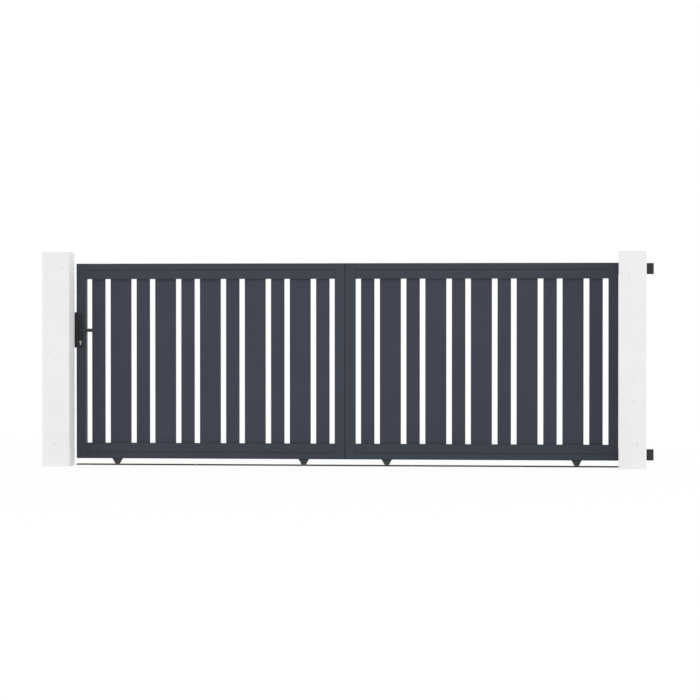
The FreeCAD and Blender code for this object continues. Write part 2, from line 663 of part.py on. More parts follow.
def make_lever(name, side):
    """A lever bent once, from the plate out and then along the leaf. It is an angle as thick as the
    section, with a rounded bend, and then all its long edges and its nose bevelled.
    The body's origin is the spindle's axis at the leaf's middle."""
    body = new_body(name, "lock_left", "leaf_mid", "spindle_height")
    sign = "-" if side < 0 else ""
    start = sign + "(lock_face + lever_air)"
    near = sign + "(lever_middle - lever_thick / 2)"
    far = sign + "(lever_middle + lever_thick / 2)"
    angle = new_sketch(body, "XY_Plane")
    outline(angle, [
        ("-lever_thick / 2", start), ("lever_thick / 2", start), ("lever_thick / 2", near),
        ("lever_reach", near), ("lever_reach", far), ("-lever_thick / 2", far)])
    pad(body, angle, "lever_high", symmetric=True)
    half = size("lever_thick") / 2
    inner = side * (size("lever_middle") - half)
    outer = side * (size("lever_middle") + half)
    begin = side * (size("lock_face") + size("lever_air"))
    for x, y, radius in ((half, inner, "lever_bend - lever_thick / 2"),
                         (-half, outer, "lever_bend + lever_thick / 2")):
        corner = edges_where(body, lambda edge: runs_along(edge, 2)
                             and same(edge.Vertexes[0].X, x) and same(edge.Vertexes[0].Y, y))
        dress(body, "Fillet", corner, radius)
    top = size("lever_high") / 2
    reach = size("lever_reach")
    long_edges = edges_where(body, lambda edge: all(same(abs(v.Z), top) for v in edge.Vertexes)
                             and not all(same(v.Y, begin) for v in edge.Vertexes)
                             or all(same(v.X, reach) for v in edge.Vertexes))
    dress(body, "Chamfer", long_edges, "lever_bevel")
    socket = new_sketch(body, "XZ_Plane", "lock_face + lever_air" if side < 0
                        else "-lock_face - lever_air")
    rectangle(socket, "-spindle_side / 2 - pin_clear", "spindle_side / 2 + pin_clear",
              "-spindle_side / 2 - pin_clear", "spindle_side / 2 + pin_clear")
    pocket(body, socket, "spindle_seat", reverse=side < 0)


def make_spindle():
    body = new_body("lever_spindle", "lock_left", "leaf_mid", "spindle_height")
    section = new_sketch(body, "XZ_Plane")
    rectangle(section, "-spindle_side / 2", "spindle_side / 2", "-spindle_side / 2", "spindle_side / 2")
    pad(body, section, "2 * (lock_face + lever_air + spindle_seat - fit_clear)", symmetric=True)


def make_cylinder():
    """A profile cylinder: a round barrel over a narrower web with a rounded foot."""
    body = new_body("lock_cylinder", "lock_left", "leaf_mid", "spindle_height - lock_spacing")
    length = "2 * (lock_face + cylinder_proud)"
    barrel = new_sketch(body, "XZ_Plane")
    circle(barrel, "0", "0", "cylinder_round / 2")
    pad(body, barrel, length, symmetric=True)
    foot = "cylinder_round / 2 - cylinder_height + cylinder_web / 2"
    web = new_sketch(body, "XZ_Plane")
    rectangle(web, "-cylinder_web / 2", "cylinder_web / 2", foot, "0")
    pad(body, web, length, symmetric=True)
    end = new_sketch(body, "XZ_Plane")
    circle(end, "0", foot, "cylinder_web / 2")
    pad(body, end, length, symmetric=True)


make_lock_plate("lock_plate_street", -1)
make_lock_plate("lock_plate_inside", 1)
make_cylinder()
make_lever("lever_street", -1)
make_lever("lever_inside", 1)
make_spindle()


# Keeper: one bent sheet, a wing on the pillar's back and a channel that takes the leaf's edge
def make_keeper():
    body = new_body("keeper", "keeper_web", "pillar_half", "keeper_low")
    inside = "leaf_setback - keeper_air"
    far = "leaf_setback + leaf_depth + keeper_air"
    lip = "keeper_air + keeper_lip"
    section = new_sketch(body, "XY_Plane")
    outline(section, [
        ("-keeper_sheet - keeper_wing", "0"), ("0", "0"), ("0", inside + " - keeper_sheet"),
        (lip, inside + " - keeper_sheet"), (lip, inside), ("0", inside), ("0", far), (lip, far),
        (lip, far + " + keeper_sheet"), ("-keeper_sheet", far + " + keeper_sheet"),
        ("-keeper_sheet", "keeper_sheet"), ("-keeper_sheet - keeper_wing", "keeper_sheet")])
    pad(body, section, "keeper_height")
    thick = size("keeper_sheet")
    deep = size("leaf_setback") + size("leaf_depth") + size("keeper_air")
    outer = edges_where(body, lambda edge: runs_along(edge, 2)
                        and same(edge.Vertexes[0].X, -thick) and same(edge.Vertexes[0].Y, deep + thick))
    dress(body, "Fillet", outer, "keeper_bend + keeper_sheet")
    inner = edges_where(body, lambda edge: runs_along(edge, 2)
                        and same(edge.Vertexes[0].X, 0) and same(edge.Vertexes[0].Y, deep))
    dress(body, "Fillet", inner, "keeper_bend")
    slot = new_sketch(body, "YZ_Plane")
    middle = "leaf_setback + leaf_depth / 2"
    rectangle(slot, middle + " - bolt_slot_wide / 2", middle + " + bolt_slot_wide / 2",
              "keeper_height / 2 - bolt_slot_high / 2", "keeper_height / 2 + bolt_slot_high / 2")
    pocket(body, slot, "keeper_sheet")
    screws = new_sketch(body, "XZ_Plane")
    for height in ("keeper_screw", "keeper_height - keeper_screw"):
        circle(screws, "-keeper_sheet - keeper_wing / 2", height, "keeper_hole / 2")
    pocket(body, screws, "keeper_sheet")


make_keeper()


# Top guide: an angle on the right pillar's back with two plain rollers hanging beside the leaf
def make_guide():
    x = "passage + pillar_width"
    body = new_body("guide_bracket", x, "pillar_half", "arm_low")
    section = new_sketch(body, "YZ_Plane")
    outline(section, [
        ("0", "0"), ("arm_reach", "0"), ("arm_reach", "bracket_sheet"),
        ("bracket_sheet", "bracket_sheet"), ("bracket_sheet", "bracket_leg"), ("0", "bracket_leg")])
    pad(body, section, "bracket_width", symmetric=True)
    corner = edges_where(body, lambda edge: runs_along(edge, 0)
                         and same(edge.Vertexes[0].Y, 0) and same(edge.Vertexes[0].Z, 0))
    dress(body, "Fillet", corner, "bracket_bend")
    for across in ("-roller_across", "roller_across"):
        eye = new_sketch(body, "XY_Plane")
        circle(eye, "0", "leaf_setback + leaf_depth / 2 + " + across, "bolt_radius + pin_clear")
        pocket(body, eye, "bracket_sheet", reverse=True)
    wall = new_sketch(body, "XZ_Plane")
    circle(wall, "-bracket_pitch / 2", "bracket_hole_up", "bracket_hole / 2")
    circle(wall, "bracket_pitch / 2", "bracket_hole_up", "bracket_hole / 2")
    pocket(body, wall, "bracket_sheet")
    make_rollers(x)
    make_bolts(x)


def make_rollers(x):
    body = new_body("guide_rollers", x, "leaf_mid", "arm_low - roller_gap - roller_height")
    ring = new_sketch(body, "XY_Plane")
    for across in ("-roller_across", "roller_across"):
        circle(ring, "0", across, "roller_radius")
        circle(ring, "0", across, "bolt_radius + pin_clear")
    pad(body, ring, "roller_height")


def make_bolts(x):
    """Bolts with their heads under the rollers and their ends standing out above the bracket."""
    body = new_body("guide_bolts", x, "leaf_mid",
                    "arm_low - 2 * roller_gap - roller_height - bolt_head_high")
    head = new_sketch(body, "XY_Plane")
    shaft = new_sketch(body, "XY_Plane")
    for across in ("-roller_across", "roller_across"):
        hexagon(head, "0", across, "bolt_head")
        circle(shaft, "0", across, "bolt_radius")
    pad(body, head, "bolt_head_high")
    pad(body, shaft, "bolt_head_high + 2 * roller_gap + roller_height + bracket_sheet + bolt_tip")


make_guide()

# Check every object, then write one file for each node
doc.recompute()
for thing in doc.Objects:
    if "Invalid" in thing.State or "Error" in thing.State:
        raise ValueError(thing.Name + " is " + ", ".join(thing.State))
for body in NODES:
    if body.Shape.isNull() or not body.Shape.isValid():
        raise ValueError(body.Label + " has no valid shape")
for body in NODES:
    body.Shape.exportStep("parts/" + body.Label + ".step")
print(len(NODES), "nodes written")
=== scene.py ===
# %% [markdown]
# # A sliding driveway gate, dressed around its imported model
# The gate is a hollow powder-coated frame with upright slats, which rolls on a ground rail behind
# two rendered pillars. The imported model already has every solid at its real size, so this script
# adds what a maker adds last: the finish of each surface, the turned and bent pieces with soft
# shapes, and the screws. Lengths are in metres. X runs along the gate, Y from the street into the
# drive, and Z is up.

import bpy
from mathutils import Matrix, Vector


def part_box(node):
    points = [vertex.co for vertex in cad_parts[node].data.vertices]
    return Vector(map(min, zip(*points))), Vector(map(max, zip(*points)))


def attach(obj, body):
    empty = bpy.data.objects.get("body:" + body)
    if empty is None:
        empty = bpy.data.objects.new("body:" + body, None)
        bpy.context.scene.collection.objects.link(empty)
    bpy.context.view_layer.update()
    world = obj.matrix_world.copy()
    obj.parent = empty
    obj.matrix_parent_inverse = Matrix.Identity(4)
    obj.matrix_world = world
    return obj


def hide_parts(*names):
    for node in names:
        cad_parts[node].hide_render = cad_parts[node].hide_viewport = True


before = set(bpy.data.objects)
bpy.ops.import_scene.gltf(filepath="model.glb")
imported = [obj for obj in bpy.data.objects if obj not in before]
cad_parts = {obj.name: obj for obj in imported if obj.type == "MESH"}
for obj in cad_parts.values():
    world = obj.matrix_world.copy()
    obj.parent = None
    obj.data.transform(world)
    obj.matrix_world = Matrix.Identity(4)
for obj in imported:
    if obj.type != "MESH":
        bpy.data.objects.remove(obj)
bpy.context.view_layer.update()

# %% Other modules
import math

import bpy
import numpy as np
from mathutils import Vector

MM = 0.001

# %% [markdown]
# ## Tools for materials
# Blender's shaders work in linear light, while a colour is written in sRGB, so one
# function turns hex values to linear. Every material is a few nodes. They could be drawn in the
# editor by hand, but one small function that adds a node with its settings and its links keeps them
# readable as text. Patterns read Object coordinates, which are metres here, so a scale is one over
# the real size of a grain.


# %% Colour from hex
def linear(hexa):
    """sRGB hex to linear RGBA: a straight line near black, and a power of 2.4 above it."""
    value = np.array([int(hexa[i:i + 2], 16) / 255 for i in (0, 2, 4)])
    low = value / 12.92
    high = ((value + 0.055) / 1.055) ** 2.4
    return (*np.where(value <= 0.04045, low, high), 1.0)


print("hex 808080 is", round(linear("808080")[0], 3), "in linear light")


# %% One node with its settings and links
def add(tree, kind, settings, links=None):
    """One node of a kind. A setting is a property of the node, a list of colour stops, or else the
    value of the input that has its name. A link joins an input to another node's output."""
    made = tree.nodes.new(kind)
    for name, value in settings.items():
        if name == "stops":
            for element, (place, hexa) in zip(made.color_ramp.elements, value):
                element.position = place
                element.color = linear(hexa)
        elif isinstance(name, int) or name in made.inputs:
            made.inputs[name].default_value = value
        else:
            setattr(made, name, value)
    for name, output in (links or {}).items():
        tree.links.new(output, made.inputs[name])
    return made


# %% What every material begins and ends with
def grain(size_mm):
    """The scale of a noise whose features are about this many millimetres wide."""
    return 1 / (size_mm * MM)


def new_material(name):
    """An empty node material, its tree and the object's own coordinates in metres."""
    material = bpy.data.materials.new(name)
    material.use_nodes = True
    material.node_tree.nodes.clear()
    tree = material.node_tree
    place = add(tree, "ShaderNodeTexCoord", {}).outputs["Object"]
    return material, tree, place


def finish(tree, settings, links):
    """The surface shader and the output that every material ends with."""
    shader = add(tree, "ShaderNodeBsdfPrincipled", settings, links)
    add(tree, "ShaderNodeOutputMaterial", {}, {"Surface": shader.outputs["BSDF"]})


print("a grain of 3 mm has a noise scale of", round(grain(3)), "to the metre")

# %% [markdown]
# ## Mineral render on the pillars
# The pillars carry a smooth trowelled mineral render with a pale paint. It gives the eye a flat
# white with faint clouds, where the trowel pressed more or less, a few small marks that it left, and
# a fine sandy grain. A picture of plaster would repeat and show its seams at the corners, so four
# noises in the pillar's own space make it: a wide one for the clouds, one that shows only where it
# is highest, for the marks, a fine one for the sand, and one that bends the surface a little, as the
# trowel leaves it.


# %% The pillars' render coat
# A colour mix has several sockets of one name, so these are its sockets by number
MIX_SHARE = 0
MIX_A = 6
MIX_B = 7
MIX_RESULT = 2
MULTIPLIED = {"data_type": "RGBA", "blend_type": "MULTIPLY", MIX_SHARE: 1.0}
CLOUD_MM = 150
MARK_MM = 40
SAND_MM = 3
TROWEL_MM = 90


def mineral_render():
    """Pale paint over clouds and marks, with a bump for the trowel, the marks and the sand."""
    material, tree, place = new_material("trowelled_mineral_render")
    clouds = add(tree, "ShaderNodeTexNoise", {"Scale": grain(CLOUD_MM), "Detail": 6, "Roughness": 0.6},
                 {"Vector": place})
    tint = add(tree, "ShaderNodeValToRGB", {"stops": [(0.32, "ebebeb"), (0.62, "eeeeee")]},
               {"Fac": clouds.outputs["Fac"]})
    specks = add(tree, "ShaderNodeTexNoise", {"Scale": grain(MARK_MM), "Detail": 2}, {"Vector": place})
    marks = add(tree, "ShaderNodeValToRGB", {"stops": [(0.67, "ffffff"), (0.8, "ececec")]},
                {"Fac": specks.outputs["Fac"]})
    marked = add(tree, "ShaderNodeMix", MULTIPLIED,
                 {MIX_A: tint.outputs["Color"], MIX_B: marks.outputs["Color"]})
    sand = add(tree, "ShaderNodeTexNoise", {"Scale": grain(SAND_MM), "Detail": 3}, {"Vector": place})
    trowel = add(tree, "ShaderNodeTexNoise", {"Scale": grain(TROWEL_MM), "Detail": 2},
                 {"Vector": place})
    wave = add(tree, "ShaderNodeBump", {"Strength": 0.8, "Distance": 1.5 * MM},
               {"Height": trowel.outputs["Fac"]})
    dent = add(tree, "ShaderNodeBump", {"Strength": 0.6, "Distance": 6 * MM},
               {"Height": marks.outputs["Color"], "Normal": wave.outputs["Normal"]})
    bump = add(tree, "ShaderNodeBump", {"Strength": 0.9, "Distance": 1.0 * MM},
               {"Height": sand.outputs["Fac"], "Normal": dent.outputs["Normal"]})
    finish(tree, {"Roughness": 0.92, "IOR": 1.5},
           {"Base Color": marked.outputs[MIX_RESULT], "Normal": bump.outputs["Normal"]})
    return material


render_coat = mineral_render()
print("made", render_coat.name)

# %% [markdown]
# ## Powder coat
# The frame and slats are aluminium tubes with a baked anthracite powder coat. The powder melts into
# a fine orange peel, so highlights are soft and slightly broken. The peel is about 1 mm wide, too
# fine to show, so it is drawn 2.5 mm wide. Roughness drifts a little over each bar, as it does on
# parts that hang in an oven. A matte coat also scatters most of its own gloss, so the shader's
# specular level is a quarter, not a half. The coat is darkened with painted shade for a few
# millimetres in inner corners, such as the foot of the step in the rails, so that the shadow lines
# there read deeper. It could be painted on by hand, but Ambient Occlusion finds those corners on each
# piece by itself. The same function makes the coat of the joining strip, darker than the frame's as
# painted shade for a strip that lies back between the halves, the black one of the lock, the dark
# greys of levers, brackets and tails, and the plain grey of the wheel forks, which come from another
# maker and have less blue, and which is also lighter than the frame's as painted light against the
# shade the forks hang in under the rail.


# %% How a powder coat is made
MATTE_GLOSS = 0.25
# How far from an inner corner the painted shade reaches
CORNER_SHADE_WIDTH = 9 * MM
DRIFT_MM = 420
PEEL_MM = 2.5
COAT_DRIFT = 0.05


def powder_coat(name, dark, light, rough):
    """A baked coat between two close shades, with painted shade in its inner corners and orange peel
    in its bump."""
    material, tree, place = new_material(name)
    drift = add(tree, "ShaderNodeTexNoise", {"Scale": grain(DRIFT_MM), "Detail": 3},
                {"Vector": place})
    tint = add(tree, "ShaderNodeValToRGB", {"stops": [(0.3, dark), (0.7, light)]},
               {"Fac": drift.outputs["Fac"]})
    # Painted shade: where Ambient Occlusion finds an inner corner within a few millimetres, the coat
    # is multiplied down to a darker grey.
    corner = add(tree, "ShaderNodeAmbientOcclusion", {"only_local": True, "Distance": CORNER_SHADE_WIDTH})
    painted_corner_shade = add(tree, "ShaderNodeValToRGB", {"stops": [(0.8, "989898"), (0.98, "ffffff")]},
               {"Fac": corner.outputs["AO"]})
    shaded_tint = add(tree, "ShaderNodeMix", MULTIPLIED,
                {MIX_A: tint.outputs["Color"], MIX_B: painted_corner_shade.outputs["Color"]})
    gloss = add(tree, "ShaderNodeMapRange",
                {"To Min": rough - COAT_DRIFT, "To Max": rough + COAT_DRIFT},
                {"Value": drift.outputs["Fac"]})
    peel = add(tree, "ShaderNodeTexNoise", {"Scale": grain(PEEL_MM), "Detail": 2}, {"Vector": place})
    bump = add(tree, "ShaderNodeBump", {"Strength": 0.7, "Distance": 0.2 * MM},
               {"Height": peel.outputs["Fac"]})
    finish(tree, {"IOR": 1.5, "Specular IOR Level": MATTE_GLOSS},
           {"Base Color": shaded_tint.outputs[MIX_RESULT], "Roughness": gloss.outputs["Result"],
            "Normal": bump.outputs["Normal"]})
    return material


# %% The coats of leaf, lock, forks and brackets
frame_coat = powder_coat("anthracite_frame_coat", "363b43", "393e48", 0.55)
slat_coat = powder_coat("anthracite_slat_coat", "373a46", "3b3e4a", 0.58)
# The joining strip's coat is darker than the frame's: painted shade for a strip that lies back between
# the two halves.
strip_coat = powder_coat("painted_shade_strip_coat", "262a31", "292d35", 0.6)
# The forks' and axles' coat is a neutral grey with less blue, and lighter than the frame's as painted
# light against the shade they hang in under the bottom rail.
fork_coat = powder_coat("mid_grey_fork_coat", "3f4043", "434447", 0.58)
bracket_coat = powder_coat("dark_grey_bracket_coat", "36383b", "3a3c3f", 0.52)
lock_coat = powder_coat("black_lock_coat", "252728", "292b2c", 0.45)
lever_coat = powder_coat("dark_grey_lever_coat", "303234", "333537", 0.45)
tail_coat = powder_coat("dark_grey_tail_coat", "343536", "373839", 0.58)
print("coats made, with peel", PEEL_MM, "mm wide")

# %% [markdown]
# ## Bare metals
# The ground rail and wheels are zinc-plated steel that has gone dull, the screws are brighter zinc,
# and the lock cylinder is nickel-plated brass. A metal's colour is its reflection, so Metallic is 1
# and the base colour is the tint. Rolled and turned steel has fine lines along the way it was made.
# The shader's anisotropy would only stretch the highlights, so a stretched noise draws the lines
# themselves: its scale is small along the line and large across it.


# %% How a worked metal is made
TARNISH_MM = 35
LINE_SQUEEZE = 0.02
METAL_DRIFT = 0.08


def worked_metal(name, dark, light, rough, line_mm, along):
    """A metal with lines from rolling or turning. along is the axis they run on, and the noise is
    squeezed to a fiftieth on it, so its features become lines."""
    material, tree, place = new_material(name)
    squeeze = [1.0, 1.0, 1.0]
    squeeze[along] = LINE_SQUEEZE
    lined = add(tree, "ShaderNodeMapping", {"Scale": squeeze}, {"Vector": place})
    lines = add(tree, "ShaderNodeTexNoise", {"Scale": grain(line_mm), "Detail": 4},
                {"Vector": lined.outputs["Vector"]})
    clouds = add(tree, "ShaderNodeTexNoise", {"Scale": grain(TARNISH_MM), "Detail": 4},
                 {"Vector": place})
    tint = add(tree, "ShaderNodeValToRGB", {"stops": [(0.3, dark), (0.7, light)]},
               {"Fac": clouds.outputs["Fac"]})
    gloss = add(tree, "ShaderNodeMapRange",
                {"To Min": rough - METAL_DRIFT, "To Max": rough + METAL_DRIFT},
                {"Value": clouds.outputs["Fac"]})
    bump = add(tree, "ShaderNodeBump", {"Strength": 0.3, "Distance": 0.05 * MM},
               {"Height": lines.outputs["Fac"]})
    finish(tree, {"Metallic": 1.0},
           {"Base Color": tint.outputs["Color"], "Roughness": gloss.outputs["Result"],
            "Normal": bump.outputs["Normal"]})
    return material


# %% The metals
rail_steel = worked_metal("rolled_rail_steel", "3f4040", "4a4b4b", 0.5, 1.5, 0)
wheel_steel = worked_metal("turned_wheel_steel", "6f6658", "867c6b", 0.42, 1.0, 1)
zinc_steel = worked_metal("zinc_plated_steel", "8d8e8c", "a3a4a1", 0.36, 1.0, 1)
nickel = worked_metal("satin_nickel", "acaaa4", "bcbab4", 0.34, 0.8, 0)
print("metals made, with clouds", TARNISH_MM, "mm wide")

# %% [markdown]
# ## Plastics
# The guide rollers are turned nylon and the end caps moulded polyethylene. Both are dull, with a
# very fine grain. Nylon lets a little light in, which takes the hardness off its edges. A plain pale
# colour would look like paint, so a little subsurface light does that.


# %% Nylon and cap plastic
BLOTCH_MM = 18
SKIN_MM = 0.9
LIGHT_REACH = 2 * MM


def moulded_plastic(name, dark, light, rough, inner_glow):
    """A plastic with a fine leathery skin; inner_glow is how much light wanders under it."""
    material, tree, place = new_material(name)
    clouds = add(tree, "ShaderNodeTexNoise", {"Scale": grain(BLOTCH_MM), "Detail": 3},
                 {"Vector": place})
    tint = add(tree, "ShaderNodeValToRGB", {"stops": [(0.3, dark), (0.7, light)]},
               {"Fac": clouds.outputs["Fac"]})
    skin = add(tree, "ShaderNodeTexNoise", {"Scale": grain(SKIN_MM), "Detail": 2}, {"Vector": place})
    bump = add(tree, "ShaderNodeBump", {"Strength": 0.4, "Distance": 0.06 * MM},
               {"Height": skin.outputs["Fac"]})
    finish(tree, {"Roughness": rough, "IOR": 1.5, "Subsurface Weight": inner_glow,
                  "Subsurface Scale": LIGHT_REACH},
           {"Base Color": tint.outputs["Color"], "Normal": bump.outputs["Normal"]})
    return material


nylon = moulded_plastic("turned_nylon", "d2d0c5", "dedcd2", 0.45, 0.15)
cap_plastic = moulded_plastic("black_cap_plastic", "191a1b", "1f2021", 0.5, 0.0)
print("plastics made, with a skin of", SKIN_MM, "mm")

# %% [markdown]
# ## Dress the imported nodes
# The pillars, bars, brackets and plates could be built again here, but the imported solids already
# have the right shape. So they stay and only take a finish on their objects' material slots. The
# nodes that are replaced further down take one too, so that none is ever bare.


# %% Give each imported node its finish
HALVES = ("left_half_", "right_half_")
FINISHES = [
    (render_coat, ["left_pillar", "right_pillar"]),
    (frame_coat, [half + bar for half in HALVES
                  for bar in ("left_stile", "right_stile", "top_rail", "bottom_rail")]),
    (fork_coat, ["wheel_forks", "wheel_axles"]),
    (slat_coat, [half + kind for half in HALVES for kind in ("narrow_slats", "wide_slats")]),
    (tail_coat, ["top_tail", "bottom_tail"]),
    (cap_plastic, ["top_tail_cap", "bottom_tail_cap"]),
    (rail_steel, ["ground_rail"]),
    (strip_coat, ["joining_strip"]),
    (bracket_coat, ["keeper", "guide_bracket"]),
    (lock_coat, ["lock_plate_street", "lock_plate_inside"]),
    (lever_coat, ["lever_street", "lever_inside"]),
    (nickel, ["lock_cylinder"]),
    (zinc_steel, ["lever_spindle", "guide_bolts"]),
    (wheel_steel, ["wheel_1", "wheel_2", "wheel_3", "wheel_4"]),
    (nylon, ["guide_rollers"]),
]
dressed = set()
for coat, names in FINISHES:
    for name in names:
        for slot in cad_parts[name].material_slots:
            slot.material = coat
        dressed.add(name)
print("dressed", len(dressed), "nodes; bare ones:", sorted(set(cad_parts) - dressed))

# %% [markdown]
# ## Surfaces from rings
# Blender's own cylinders and modifiers could make the new pieces, with their shape hidden in many
# settings. Here each one is a skin over rings of points, which says its shape as a formula. A turned
# piece has a ring for each point of its profile, and a bent bar has a ring for each step along its
# path. numpy works the whole grid out at once. The skin closes each ring on itself, and either joins
# the last ring to the first, as on a tyre, or closes both ends with a point. Its signed volume shows
# whether it is inside out.


# %% A skin over rings
def skin(rings, hoop=False):
    """Points, quads and end caps over a grid of rings, an array of steps by points by 3. A quad joins
    two neighbours on a ring with the same two on the next ring, and a cap's triangles join an end
    ring to its own middle. Six times the volume is the sum, over all triangles, of a corner times
    the cross product of the other two."""
    steps, points = rings.shape[:2]
    here = np.arange(points)
    beside = (here + 1) % points
    ring = np.arange(steps if hoop else steps - 1)[:, None] * points
    following = (ring + points) % (steps * points)
    quads = np.stack([ring + here, ring + beside, following + beside, following + here], -1)
    quads = quads.reshape(-1, 4)
    vertices = rings.reshape(-1, 3)
    caps = np.zeros((0, 3), int)
    if not hoop:
        first_tip = np.full(points, len(vertices))
        last = (steps - 1) * points
        caps = np.stack([np.stack([first_tip, beside, here], -1),
                         np.stack([first_tip + 1, last + here, last + beside], -1)], 1)
        caps = caps.reshape(-1, 3)
        vertices = np.vstack([vertices, rings[0].mean(0), rings[-1].mean(0)])
    triangles = np.vstack([quads[:, [0, 1, 2]], quads[:, [0, 2, 3]], caps])
    a, b, c = (vertices[triangles[:, k]] for k in range(3))
    if np.einsum("ij,ij->i", a, np.cross(b, c)).sum() < 0:
        quads = quads[:, ::-1]
        caps = caps[:, ::-1]
    return vertices, quads, caps


# %% One piece from its skins
SMOOTH_BELOW = math.radians(32)


def piece(name, skins, coat, body, replaced=()):
    """One object from several skins, with its finish and its body."""
    vertices, faces = [], []
    for points, quads, caps in skins:
        start = len(vertices)
        vertices += points.tolist()
        faces += (start + quads).tolist() + (start + caps).tolist()
    mesh = bpy.data.meshes.new(name)
    mesh.from_pydata(vertices, [], faces)
    mesh.validate()
    mesh.shade_smooth()
    mesh.set_sharp_from_angle(angle=SMOOTH_BELOW)
    mesh.materials.append(coat)
    made = bpy.data.objects.new(name, mesh)
    bpy.context.scene.collection.objects.link(made)
    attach(made, body)
    if replaced:
        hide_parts(*replaced)
    print(name, len(faces), "faces on", body)


print("edges bent by less than", round(math.degrees(SMOOTH_BELOW)), "degrees look round")

# %% [markdown]
# ## Turned pieces
# A lathe makes a wheel, a roller or a screw head from a profile of radius against height. Blender's
# Screw modifier is such a lathe, but its rings are always circles. Here the ring for a profile point
# is a circle, or a regular polygon for a bolt head or a socket: its radius is the half width over
# flats, divided by the cosine of the angle from the nearest flat.


# %% A lathe for wheels, rollers, screws and bolts
SCREW_POINTS = 48


def turned(centre, axis, profile, points=SCREW_POINTS, hoop=False):
    """Rings about an axis, 1 for X, 2 for Y and 3 for Z. Profile rows are radius and height in
    millimetres, and sides: 0 for a circle, or a polygon's count, whose radius is over flats. The
    height runs along the axis, or against it where the axis has a minus sign."""
    way = 1 if axis >= 0 else -1
    axis = abs(axis) - 1
    angle = np.arange(points) * 2 * np.pi / points
    rows = np.array(profile, float)
    sides = rows[:, 2:3]
    turn = 2 * np.pi / np.maximum(sides, 1)
    off = (angle[None] + turn / 2) % turn - turn / 2
    radius = rows[:, 0:1] * np.where(sides > 0, 1 / np.cos(off), 1.0)
    rings = np.zeros((len(rows), points, 3))
    rings[..., (axis + 1) % 3] = radius * np.cos(angle) * MM
    rings[..., (axis + 2) % 3] = radius * np.sin(angle) * MM
    rings[..., axis] = rows[:, 1:2] * way * MM
    return skin(rings + np.array(centre), hoop)


# %% Helpers for profiles
def arc(centre, radius, start, end, count):
    """Profile rows on an arc about a point of radius and height, between two angles in degrees."""
    angle = np.radians(np.linspace(start, end, count))
    return [(centre[0] + radius * math.cos(a), centre[1] + radius * math.sin(a), 0) for a in angle]


def flipped(rows):
    """The same profile on the other side of the middle, in reverse order."""
    return [(radius, -height, sides) for radius, height, sides in reversed(rows)]


# %% [markdown]
# ## Wheels
# A sliding gate runs on turned steel wheels with a round groove, which sits on the round ridge of
# the rail, and a sealed bearing in the middle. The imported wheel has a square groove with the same
# rolling radius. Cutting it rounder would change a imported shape, so a turned wheel takes its place
# and rides on the same body. Lengths in the profile are millimetres.


# %% Turn the four wheels
WHEEL_BORE = 6.05
RACE_OUT = 9.5
RACE_BACK = 0.2
SEAL_IN = 9.8
SEAL_OUT = 14.6
SEAL_BACK = 1.6
HUB_IN = 15
FLANGE_BEVEL = 1.2
LIP_HALF = 6.2
LIP_BEVEL = (0.5, 0.6)
GROOVE_DEPTH = 4
GROOVE_RADIUS = 6.3
GROOVE_SPAN = (132, 228)
GROOVE_STEPS = 13
WHEEL_POINTS = 96


def wheel_profile(low, high):
    """A closed section: bore, bearing face set back, hub, flange and a groove that is an arc about
    the ridge's centre."""
    half = (high.y - low.y) / 2 / MM
    flange = (high.z - low.z) / 2 / MM
    side = [(WHEEL_BORE, half - RACE_BACK, 0), (RACE_OUT, half - RACE_BACK, 0),
            (SEAL_IN, half - SEAL_BACK, 0), (SEAL_OUT, half - SEAL_BACK, 0), (HUB_IN, half, 0),
            (flange - FLANGE_BEVEL, half, 0), (flange, half - FLANGE_BEVEL, 0),
            (flange, LIP_HALF, 0), (flange - LIP_BEVEL[0], LIP_HALF - LIP_BEVEL[1], 0)]
    ridge = (flange - GROOVE_DEPTH + GROOVE_RADIUS, 0)
    groove = arc(ridge, GROOVE_RADIUS, *GROOVE_SPAN, GROOVE_STEPS)
    return side + groove + flipped(side)


for number in (1, 2, 3, 4):
    low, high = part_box(f"wheel_{number}")
    middle = (low + high) / 2
    wheel = turned(middle, 2, wheel_profile(low, high), WHEEL_POINTS, hoop=True)
    piece(f"grooved_wheel_{number}", [wheel], wheel_steel, f"wheel_{number}",
          [f"wheel_{number}"])

# %% [markdown]
# ## Guide rollers
# Two nylon rollers hang beside the leaf's top rail. A bevel on plain tubes would round them, but not
# give the shallow hollow round the bolt that a lathe leaves. So they are turned, and their lengths
# are millimetres too.


# %% Turn the guide rollers
ROLLER = 13.0
ROLLER_BORE = 5.05
ROLLER_POINTS = 64
RIM_ROUND = 2.5
RIM_STEPS = 6
HOLLOW_DEPTH = 2
HOLLOW_FLOOR = 8.6
HOLLOW_EDGE = 9.2
low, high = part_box("guide_rollers")
half = (high.z - low.z) / 2 / MM
rim = arc((ROLLER - RIM_ROUND, half - RIM_ROUND), RIM_ROUND, 90, 0, RIM_STEPS)
upper = [(ROLLER_BORE, half - HOLLOW_DEPTH, 0), (HOLLOW_FLOOR, half - HOLLOW_DEPTH, 0),
         (HOLLOW_EDGE, half, 0)] + rim
rollers = []
for y in (low.y + ROLLER * MM, high.y - ROLLER * MM):
    centre = ((low.x + high.x) / 2, y, (low.z + high.z) / 2)
    rollers.append(turned(centre, 3, upper + flipped(upper), ROLLER_POINTS, hoop=True))
piece("nylon_guide_rollers", rollers, nylon, "root", ["guide_rollers"])

# %% [markdown]
# ## Levers
# A cast door lever starts round at the plate, turns through a right angle and flattens into a grip
# with a rounded end. A curve with a bevel could follow that path, but its section can't change from
# round to flat. So the section is carried along a path in numpy: a straight neck, a quarter circle
# and a straight grip. The section is a superellipse, an ellipse whose cosine and sine are raised to
# a power below one, which swells its corners. Lengths are millimetres, and radii or half widths.


